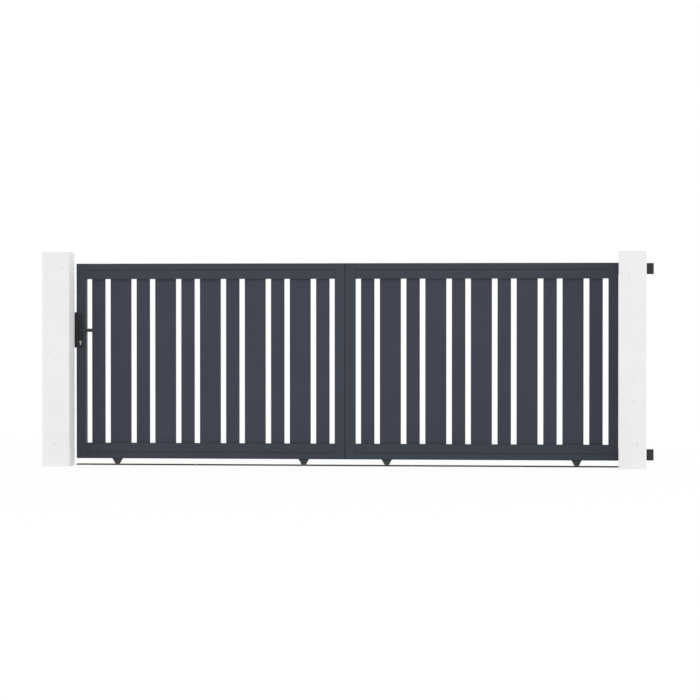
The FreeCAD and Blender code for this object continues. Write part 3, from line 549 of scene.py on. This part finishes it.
# %% Bend the two levers
LEVER_NECK = 7.5
LEVER_GRIP = (7.0, 12.0)
LEVER_BEND = 16.0
FLAT_FROM = 0.4  # share of the neck that stays round
SQUARENESS = 0.35  # how far the grip's power falls below one
NOSE_DROP = 0.7  # how much of the nose's rounding its height takes
NECK_STEPS = 8
BEND_STEPS = 17
GRIP_STEPS = 20
NOSE_STEPS = 9
LEVER_POINTS = 40


def bent_lever(low, high, side):
    """Rings along the path. side is -1 for the street, where the lever stands out towards -Y, and 1
    inside. Each ring's plane is square to the path, and the free end narrows as a quarter circle
    does."""
    axis_x, axis_z = low.x / MM + LEVER_GRIP[0], (low.z + high.z) / 2 / MM
    start = (high.y if side < 0 else low.y) / MM
    grip_y = (low.y if side < 0 else high.y) / MM - side * LEVER_GRIP[0]
    neck = abs(grip_y - start) - LEVER_BEND
    reach = high.x / MM - axis_x - LEVER_BEND
    bend = LEVER_BEND * np.pi / 2
    end = neck + bend + reach
    nose = np.linspace(0, np.pi / 2, NOSE_STEPS)
    along = np.concatenate([np.linspace(0, neck, NECK_STEPS),
                            neck + np.linspace(0, bend, BEND_STEPS)[1:],
                            np.linspace(neck + bend, end - LEVER_GRIP[0], GRIP_STEPS)[1:],
                            end - LEVER_GRIP[0] * (1 - np.sin(nose[1:-1]))])
    turn = np.clip((along - neck) / LEVER_BEND, 0, np.pi / 2)
    out = np.minimum(along, neck) + LEVER_BEND * np.sin(turn)
    across = LEVER_BEND * (1 - np.cos(turn)) + np.maximum(along - neck - bend, 0)
    middle = np.stack([axis_x + across, start + side * out, np.full_like(out, axis_z)], -1)
    normal = np.stack([-np.cos(turn), side * np.sin(turn), np.zeros_like(turn)], -1)
    flat = np.clip((along - neck * FLAT_FROM) / (bend + neck * (1 - FLAT_FROM)), 0, 1)
    flat = flat * flat * (3 - 2 * flat)
    into_nose = np.clip((along - end + LEVER_GRIP[0]) / LEVER_GRIP[0], 0, 1)
    shrink = np.sqrt(1 - into_nose ** 2)
    thick = (LEVER_NECK + (LEVER_GRIP[0] - LEVER_NECK) * flat) * shrink
    tall = (LEVER_NECK + (LEVER_GRIP[1] - LEVER_NECK) * flat) * (1 - (1 - shrink) * NOSE_DROP)
    power = (1 - SQUARENESS * flat)[:, None]
    angle = np.arange(LEVER_POINTS) * 2 * np.pi / LEVER_POINTS
    c, s = np.cos(angle)[None], np.sin(angle)[None]
    u = np.sign(c) * np.abs(c) ** power * thick[:, None]
    v = np.sign(s) * np.abs(s) ** power * tall[:, None]
    rings = middle[:, None] + u[..., None] * normal[:, None] + v[..., None] * np.array([0, 0, 1.0])
    return skin(rings * MM)


for where, side in (("street", -1), ("inside", 1)):
    low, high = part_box(f"lever_{where}")
    piece(f"cast_lever_{where}", [bent_lever(low, high, side)], lever_coat, "lever",
          [f"lever_{where}"])

# %% [markdown]
# ## Collars and lock plate screws
# The lever turns in a small collar that stands on the plate, and a screw at each end holds the
# plate. The screws have a raised head with a six-sided socket. A boolean could cut the socket, but
# it leaves long thin faces, so the lathe makes the dome with round rings and the socket with
# six-sided ones.

# %% Screw heads
SOCKET_SCREW = [(4.6, 0, 0), (4.6, 0.5, 0), (4.2, 1.1, 0), (3.2, 1.6, 0), (2.4, 1.8, 0),
                (1.7, 1.8, 6), (1.7, 0.3, 6), (0.6, 0.3, 6)]
COLLAR = [(7.9, -0.3, 0), (11.6, -0.3, 0), (11.6, 2.4, 0), (10.8, 3.2, 0), (8.4, 3.2, 0),
          (7.9, 2.7, 0)]
COLLAR_POINTS = 64
SCREW_INSET = 14 * MM
spindle_low, spindle_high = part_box("lever_spindle")
spindle = (spindle_low + spindle_high) / 2
for where, axis in (("street", -2), ("inside", 2)):
    low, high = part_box(f"lock_plate_{where}")
    face = low.y if axis < 0 else high.y
    middle = (low.x + high.x) / 2
    heads = [turned((middle, face, z), axis, SOCKET_SCREW)
             for z in (low.z + SCREW_INSET, high.z - SCREW_INSET)]
    piece(f"lock_plate_screws_{where}", heads, lock_coat, "leaf")
    collar = turned((middle, face, spindle.z), axis, COLLAR, COLLAR_POINTS, hoop=True)
    piece(f"lever_collar_{where}", [collar], lock_coat, "leaf")

# %% [markdown]
# ## Key plug
# The round end of a profile cylinder shows a plug that turns, with a narrow key slot. A dark patch
# would look painted on, so the slot is sunk: the plug is a disc in polar rings, whose height drops
# where a point lies inside the slot. Lengths are millimetres, and the slot has half sizes.

# %% Key plugs on both faces
BARREL = 8.5
PLUG = 6.6
PLUG_RIM = [(PLUG, 0), (PLUG, 0.3), (PLUG - 0.4, 0.5)]
PLUG_FACE = (PLUG - 0.6, 0.12)
PLUG_RISE = 0.5
PLUG_RINGS = 44
PLUG_POINTS = 96
KEY_SLOT = (0.7, 4.2)
SLOT_DEPTH = 1.5
cylinder_low, cylinder_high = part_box("lock_cylinder")
barrel_x = (cylinder_low.x + cylinder_high.x) / 2
barrel_z = cylinder_high.z - BARREL * MM


def key_plug(centre, side):
    """Rings from the rim to the middle, raised by the plug's rise, and sunk by the slot's depth where
    both sideways and upright distances are less than the slot's half sizes."""
    angle = np.arange(PLUG_POINTS) * 2 * np.pi / PLUG_POINTS
    face = np.stack([np.linspace(*PLUG_FACE, PLUG_RINGS), np.full(PLUG_RINGS, PLUG_RISE)], -1)
    radius, height = np.vstack([PLUG_RIM, face]).T[..., None]
    x = radius * np.cos(angle)
    z = radius * np.sin(angle)
    inside = (np.abs(x) < KEY_SLOT[0]) & (np.abs(z) < KEY_SLOT[1])
    height = np.where(inside, -SLOT_DEPTH, height)
    return skin(np.stack([x, side * height, z], -1) * MM + np.array(centre))


plugs = [key_plug((barrel_x, cylinder_low.y, barrel_z), -1),
         key_plug((barrel_x, cylinder_high.y, barrel_z), 1)]
piece("key_plugs", plugs, nickel, "leaf")

# %% [markdown]
# ## Fixings
# Hexagon screws hold the ground rail to its beam, the keeper to the left pillar and the guide
# bracket to the right one. Each is a round flange under a six-sided head with a rounded top, from
# the same lathe, so a size is three numbers: the half widths of the flange and of the head over its
# flats, and the height. The photograph also has a dark dot at the inner edge of each rail's outer
# band, where the two halves meet: black socket screws whose heads bridge the joining strip.

# %% Hexagon screws on the ground rail
WASHER = 1.6
WASHER_BEVEL = (0.5, 0.4)
RAIL_HEAD = (6.2, 4, 4.5)
FIRST_FIXING = 95 * MM
FIXING_PITCH = 800 * MM
FIXING_ACROSS = 17 * MM
FIXING_PAIRS = 6
RAIL_BASE = 3 * MM


def hexagon_head(flange, flats, tall):
    """Profile rows of a flange washer and a hexagon head; sizes are half widths in millimetres."""
    return [(flange, 0, 0), (flange, WASHER - WASHER_BEVEL[1], 0),
            (flange - WASHER_BEVEL[0], WASHER, 0), (flats * 1.02, WASHER, 6), (flats, tall - 1, 6),
            (flats, tall - 0.6, 6), (flats * 0.94, tall, 0), (flats * 0.5, tall + 0.2, 0)]


low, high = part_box("ground_rail")
rail_middle = (low.y + high.y) / 2
rail_heads = [turned((low.x + FIRST_FIXING + pair * FIXING_PITCH, rail_middle + way * FIXING_ACROSS,
                      RAIL_BASE), 3, hexagon_head(*RAIL_HEAD))
              for pair in range(FIXING_PAIRS) for way in (-1, 1)]
piece("ground_rail_screws", rail_heads, zinc_steel, "root")

# %% Hexagon screws on the keeper
KEEPER_HEAD = (8, 6, 6)
KEEPER_SCREW = Vector((27.5, 3, 52)) * MM
low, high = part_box("keeper")
keeper_heads = [turned((low.x + KEEPER_SCREW.x, low.y + KEEPER_SCREW.y, z), 2,
                       hexagon_head(*KEEPER_HEAD))
                for z in (low.z + KEEPER_SCREW.z, high.z - KEEPER_SCREW.z)]
piece("keeper_screws", keeper_heads, zinc_steel, "root")

# %% Socket screws at the joint of the halves
JOINT_SCREW_INSET = 48 * MM
JOINT_SCREW = [(6.8, 0, 0), (6.8, 1.0, 0), (6.3, 1.9, 0), (5.0, 2.6, 0), (3.6, 2.8, 0),
               (2.5, 2.8, 6), (2.5, 0.5, 6), (0.6, 0.5, 6)]
strip_low, strip_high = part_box("joining_strip")
top_low, top_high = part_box("left_half_top_rail")
bottom_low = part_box("left_half_bottom_rail")[0]
joint_heads = [turned(((strip_low.x + strip_high.x) / 2, top_low.y, z), -2, JOINT_SCREW)
               for z in (bottom_low.z + JOINT_SCREW_INSET, top_high.z - JOINT_SCREW_INSET)]
piece("joint_screws", joint_heads, lock_coat, "leaf")

# %% Hexagon screws on the guide bracket
BRACKET_HEAD = (9, 6.5, 7)
BRACKET_HOLE = Vector((40, 6, 36)) * MM
low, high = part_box("guide_bracket")
bracket_middle = (low.x + high.x) / 2
bracket_heads = [turned((bracket_middle + way * BRACKET_HOLE.x, low.y + BRACKET_HOLE.y,
                         low.z + BRACKET_HOLE.z), 2, hexagon_head(*BRACKET_HEAD))
                 for way in (-1, 1)]
piece("bracket_screws", bracket_heads, zinc_steel, "root")

# %% [markdown]
# ## Floor and background
# The photograph has a white ground with a soft shadow only at the pillars' feet. Stronger lamps
# would whiten the ground, but also the gate. So the floor is pale and lit like the gate, and part of
# what the camera sees of it glows by itself with strength 1, which is white. The shadow stays, but
# soft, and no more light falls on the gate. Mirrors and metal see the same white. The sky is white
# for all of them too, while its light on the gate is a little lower.


# %% What the camera and mirrors see
def seen_as_white(tree):
    """An output that is 1 for what the camera, mirrors and glass see, and 0 for light on things."""
    ray = add(tree, "ShaderNodeLightPath", {})
    seen = add(tree, "ShaderNodeMath", {"operation": "MAXIMUM"},
               {0: ray.outputs["Is Camera Ray"], 1: ray.outputs["Is Glossy Ray"]})
    either = add(tree, "ShaderNodeMath", {"operation": "MAXIMUM"},
                 {0: seen.outputs[0], 1: ray.outputs["Is Transmission Ray"]})
    return either.outputs[0]


# %% Floor material
FLOOR_CLOUD_MM = 900
OWN_WHITE = (0.93, 1.0)
WHITE_FROM = 3.0
WHITE_TO = 8.0


def pale_floor():
    """A pale floor that is a little more its own white further from the gate, where no shadow is."""
    material, tree, place = new_material("pale_floor")
    clouds = add(tree, "ShaderNodeTexNoise", {"Scale": grain(FLOOR_CLOUD_MM), "Detail": 2},
                 {"Vector": place})
    tint = add(tree, "ShaderNodeValToRGB", {"stops": [(0.3, "f3f3f3"), (0.7, "f6f6f6")]},
               {"Fac": clouds.outputs["Fac"]})
    lit = add(tree, "ShaderNodeBsdfDiffuse", {}, {"Color": tint.outputs["Color"]})
    white = add(tree, "ShaderNodeEmission", {"Color": (1, 1, 1, 1), "Strength": 1.0})
    far = add(tree, "ShaderNodeVectorMath", {"operation": "LENGTH"}, {0: place})
    own = add(tree, "ShaderNodeMapRange", {"From Min": WHITE_FROM, "From Max": WHITE_TO,
                                           "To Min": OWN_WHITE[0], "To Max": OWN_WHITE[1]},
              {"Value": far.outputs["Value"]})
    share = add(tree, "ShaderNodeMath", {"operation": "MULTIPLY"},
                {0: seen_as_white(tree), 1: own.outputs["Result"]})
    mixed = add(tree, "ShaderNodeMixShader", {},
                {0: share.outputs[0], 1: lit.outputs["BSDF"], 2: white.outputs["Emission"]})
    add(tree, "ShaderNodeOutputMaterial", {}, {"Surface": mixed.outputs["Shader"]})
    return material


# %% Floor
FLOOR_HALF = 40.0
FLOOR_CORNERS = [(-1, -1), (1, -1), (1, 1), (-1, 1)]
floor_mesh = bpy.data.meshes.new("studio_floor")
floor_mesh.from_pydata([(x * FLOOR_HALF, y * FLOOR_HALF, 0) for x, y in FLOOR_CORNERS],
                       [], [(0, 1, 2, 3)])
floor_mesh.materials.append(pale_floor())
floor = bpy.data.objects.new("studio_floor", floor_mesh)
bpy.context.scene.collection.objects.link(floor)
print("floor", 2 * FLOOR_HALF, "m wide")

# %% World
WORLD_LIGHT = 0.84
world = bpy.data.worlds.new("studio_sky")
world.use_nodes = True
bpy.context.scene.world = world
sky = world.node_tree
sky.nodes.clear()
strength = add(sky, "ShaderNodeMapRange", {"To Min": WORLD_LIGHT, "To Max": 1.0},
               {"Value": seen_as_white(sky)})
light = add(sky, "ShaderNodeBackground", {"Color": (1, 1, 1, 1)},
            {"Strength": strength.outputs["Result"]})
add(sky, "ShaderNodeOutputWorld", {}, {"Surface": light.outputs["Background"]})
print("sky gives", WORLD_LIGHT, "of full light")

# %% [markdown]
# ## Lamps
# The photograph's light has no direction that a shadow would give away: fronts are the brightest
# faces, the left pillar's inner side is a little darker and nothing falls on the ground. An area lamp
# near a gate four metres long is brighter at one end, so a very wide sun stands in for a wall of
# softboxes on the right. A weaker one in front on the left reaches the bars that the right pillar
# keeps in its shade. The sky fills the rest.

# %% Two wide soft lamps
def wide_lamp(name, towards, strength, spread):
    """A sun lamp in a direction given as a vector towards it; spread is its apparent width."""
    lamp = bpy.data.lights.new(name, "SUN")
    lamp.energy = strength
    lamp.angle = math.radians(spread)
    made = bpy.data.objects.new(name, lamp)
    made.rotation_euler = Vector(towards).to_track_quat("Z", "Y").to_euler()
    bpy.context.scene.collection.objects.link(made)
    print(name, "stands towards", tuple(towards), "at", strength)


wide_lamp("soft_wall", towards=(0.88, -0.33, 0.34), strength=0.82, spread=50)
wide_lamp("soft_front", towards=(-0.70, -0.58, 0.42), strength=0.42, spread=40)

# %% [markdown]
# ## Camera
# The photograph was taken from straight in front of the right pillar with the back of the camera
# parallel to the gate: the left pillar shows its inner side and the right one shows no side. A
# shift of four tenths of a frame would match that exactly, but it would push the gate out of every
# other view. So the camera turns a little towards the gate's middle, and it stands further off
# with a longer lens, so that the turn makes neither pillar much taller than the other. It looks down
# by less than a degree, and a shift of one and a half hundredths centres the frame.

# %% Camera
CAMERA_PLACE = (4.134, -19.768, 1.079)
CAMERA_TURN = 5.5
CAMERA_DOWN = 0.65
LENS = 140.4
SENSOR = 36
SIDE_SHIFT = -0.015
SEE_UP_TO = 200
camera_data = bpy.data.cameras.new("camera")
camera_data.lens = LENS
camera_data.sensor_width = SENSOR
camera_data.shift_x = SIDE_SHIFT
camera_data.clip_end = SEE_UP_TO
camera = bpy.data.objects.new("camera", camera_data)
camera.location = CAMERA_PLACE
camera.rotation_euler = (math.radians(90 - CAMERA_DOWN), 0, math.radians(CAMERA_TURN))
bpy.context.scene.collection.objects.link(camera)
bpy.context.scene.camera = camera
bpy.context.scene.view_settings.view_transform = "Standard"
print("camera at", CAMERA_PLACE, "with a lens of", LENS, "mm")
